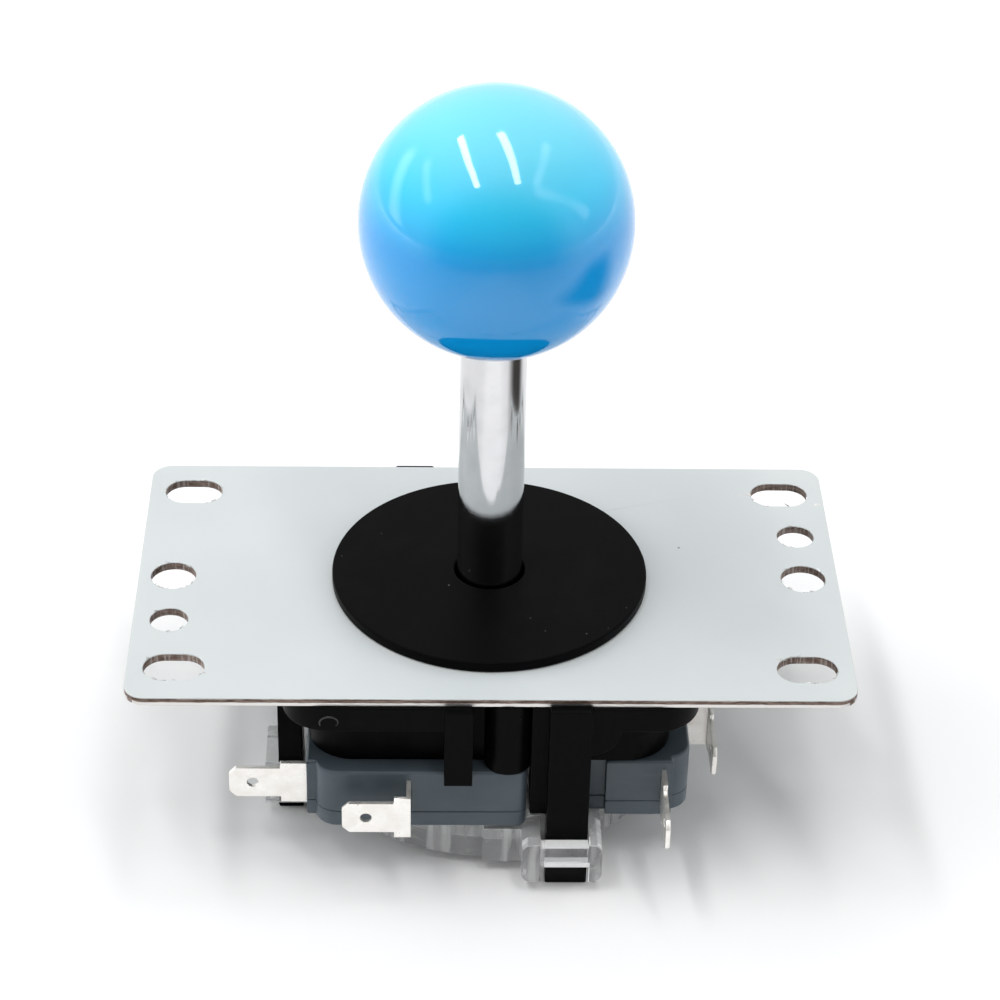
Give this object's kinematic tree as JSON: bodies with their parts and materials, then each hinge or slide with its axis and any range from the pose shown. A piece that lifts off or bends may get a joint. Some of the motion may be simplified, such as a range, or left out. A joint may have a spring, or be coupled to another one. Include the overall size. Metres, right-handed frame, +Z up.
{
  "type": "arcade joystick lever",
  "caption": "Arcade joystick lever with a ball top on a chromed shaft, slotted mounting plate, moulded housing, microswitches round the pivot and a clear restrictor gate.",
  "frame": {"origin": "on the shaft axis, in the plane of the mounting plate's top face", "axes": "+Z up the shaft, +X along the long side of the plate, -Y towards the front of the picture"},
  "size_m": [0.095, 0.069, 0.1023],
  "materials": {
    "ball_plastic": "glossy moulded",
    "insert_brass": "knurled",
    "shaft_chrome": "polished",
    "clip_steel": "dark phosphate",
    "washer_plastic": "satin moulded",
    "plate_paint": "satin white over steel",
    "screw_steel": "zinc plated",
    "housing_plastic": "moulded",
    "pivot_plastic": "moulded acetal",
    "spring_steel": "drawn wire",
    "actuator_plastic": "moulded acetal",
    "gate_clear": "clear moulded",
    "switch_plastic": "moulded",
    "plunger_plastic": "moulded",
    "tab_tin": "tin plated",
    "blade_bronze": "rolled strip"
  },
  "bodies": {
    "frame": {"mounting_plate": "plate_paint", "plate_screws": "screw_steel", "housing": "housing_plastic", "restrictor_gate": "gate_clear", "spring_washer": "screw_steel", "front_switch_case": "switch_plastic", "front_switch_cover": "switch_plastic", "front_com_terminal": "tab_tin", "front_no_terminal": "tab_tin", "front_contact_blade": "blade_bronze", "right_switch_case": "switch_plastic", "right_switch_cover": "switch_plastic", "right_com_terminal": "tab_tin", "right_no_terminal": "tab_tin", "right_contact_blade": "blade_bronze", "rear_switch_case": "switch_plastic", "rear_switch_cover": "switch_plastic", "rear_com_terminal": "tab_tin", "rear_no_terminal": "tab_tin", "rear_contact_blade": "blade_bronze", "left_switch_case": "switch_plastic", "left_switch_cover": "switch_plastic", "left_com_terminal": "tab_tin", "left_no_terminal": "tab_tin", "left_contact_blade": "blade_bronze"},
    "return_spring": {"return_spring": "spring_steel"},
    "pivot": {"pivot_ball": "pivot_plastic", "actuator": "actuator_plastic"},
    "lever": {"ball_top": "ball_plastic", "ball_insert": "insert_brass", "shaft": "shaft_chrome", "retaining_clip": "clip_steel"},
    "inner_dust_shield": {"inner_dust_shield": "washer_plastic"},
    "dust_washer": {"dust_washer": "washer_plastic"},
    "front_plunger": {"front_plunger": "plunger_plastic"},
    "right_plunger": {"right_plunger": "plunger_plastic"},
    "rear_plunger": {"rear_plunger": "plunger_plastic"},
    "left_plunger": {"left_plunger": "plunger_plastic"}
  },
  "joints": [
    {"name": "tilt_fore_aft", "type": "hinge", "parent": "frame", "child": "return_spring", "pos_m": [0, 0, -0.009], "axis": [1, 0, 0], "range_deg": [-8, 8], "stiffness_Nm_per_rad": 0.6, "deforming": ["return_spring"]},
    {"name": "tilt_sideways", "type": "hinge", "parent": "return_spring", "child": "pivot", "pos_m": [0, 0, -0.009], "axis": [0, 1, 0], "range_deg": [-8, 8], "stiffness_Nm_per_rad": 0.6},
    {"name": "shaft_spin", "type": "hinge", "parent": "pivot", "child": "lever", "pos_m": [0, 0, -0.009], "axis": [0, 0, 1], "continuous": true},
    {"name": "shield_slide", "type": "slide", "parent": "frame", "child": "inner_dust_shield", "axis": [0, 1, 0], "range_m": [-0.00138, 0.00138]},
    {"name": "washer_slide", "type": "slide", "parent": "inner_dust_shield", "child": "dust_washer", "axis": [1, 0, 0], "range_m": [-0.00139, 0.00139]},
    {"name": "front_plunger_press", "type": "slide", "parent": "frame", "child": "front_plunger", "axis": [0, -1, 0], "range_m": [-0.00104, 0.00104], "deforming": ["front_contact_blade"]},
    {"name": "right_plunger_press", "type": "slide", "parent": "frame", "child": "right_plunger", "axis": [1, 0, 0], "range_m": [-0.00104, 0.00104], "deforming": ["right_contact_blade"]},
    {"name": "rear_plunger_press", "type": "slide", "parent": "frame", "child": "rear_plunger", "axis": [0, 1, 0], "range_m": [-0.00104, 0.00104], "deforming": ["rear_contact_blade"]},
    {"name": "left_plunger_press", "type": "slide", "parent": "frame", "child": "left_plunger", "axis": [-1, 0, 0], "range_m": [-0.00104, 0.00104], "deforming": ["left_contact_blade"]}
  ],
  "couplings": [
    {"joint": "shield_slide", "follows": "tilt_fore_aft", "m_per_rad": -0.0098642},
    {"joint": "washer_slide", "follows": "tilt_sideways", "m_per_rad": 0.0099127},
    {"joint": "front_plunger_press", "follows": "tilt_fore_aft", "m_per_rad": -0.0073981},
    {"joint": "rear_plunger_press", "follows": "tilt_fore_aft", "m_per_rad": 0.0073981},
    {"joint": "left_plunger_press", "follows": "tilt_sideways", "m_per_rad": 0.0073981},
    {"joint": "right_plunger_press", "follows": "tilt_sideways", "m_per_rad": -0.0073981}
  ]
}
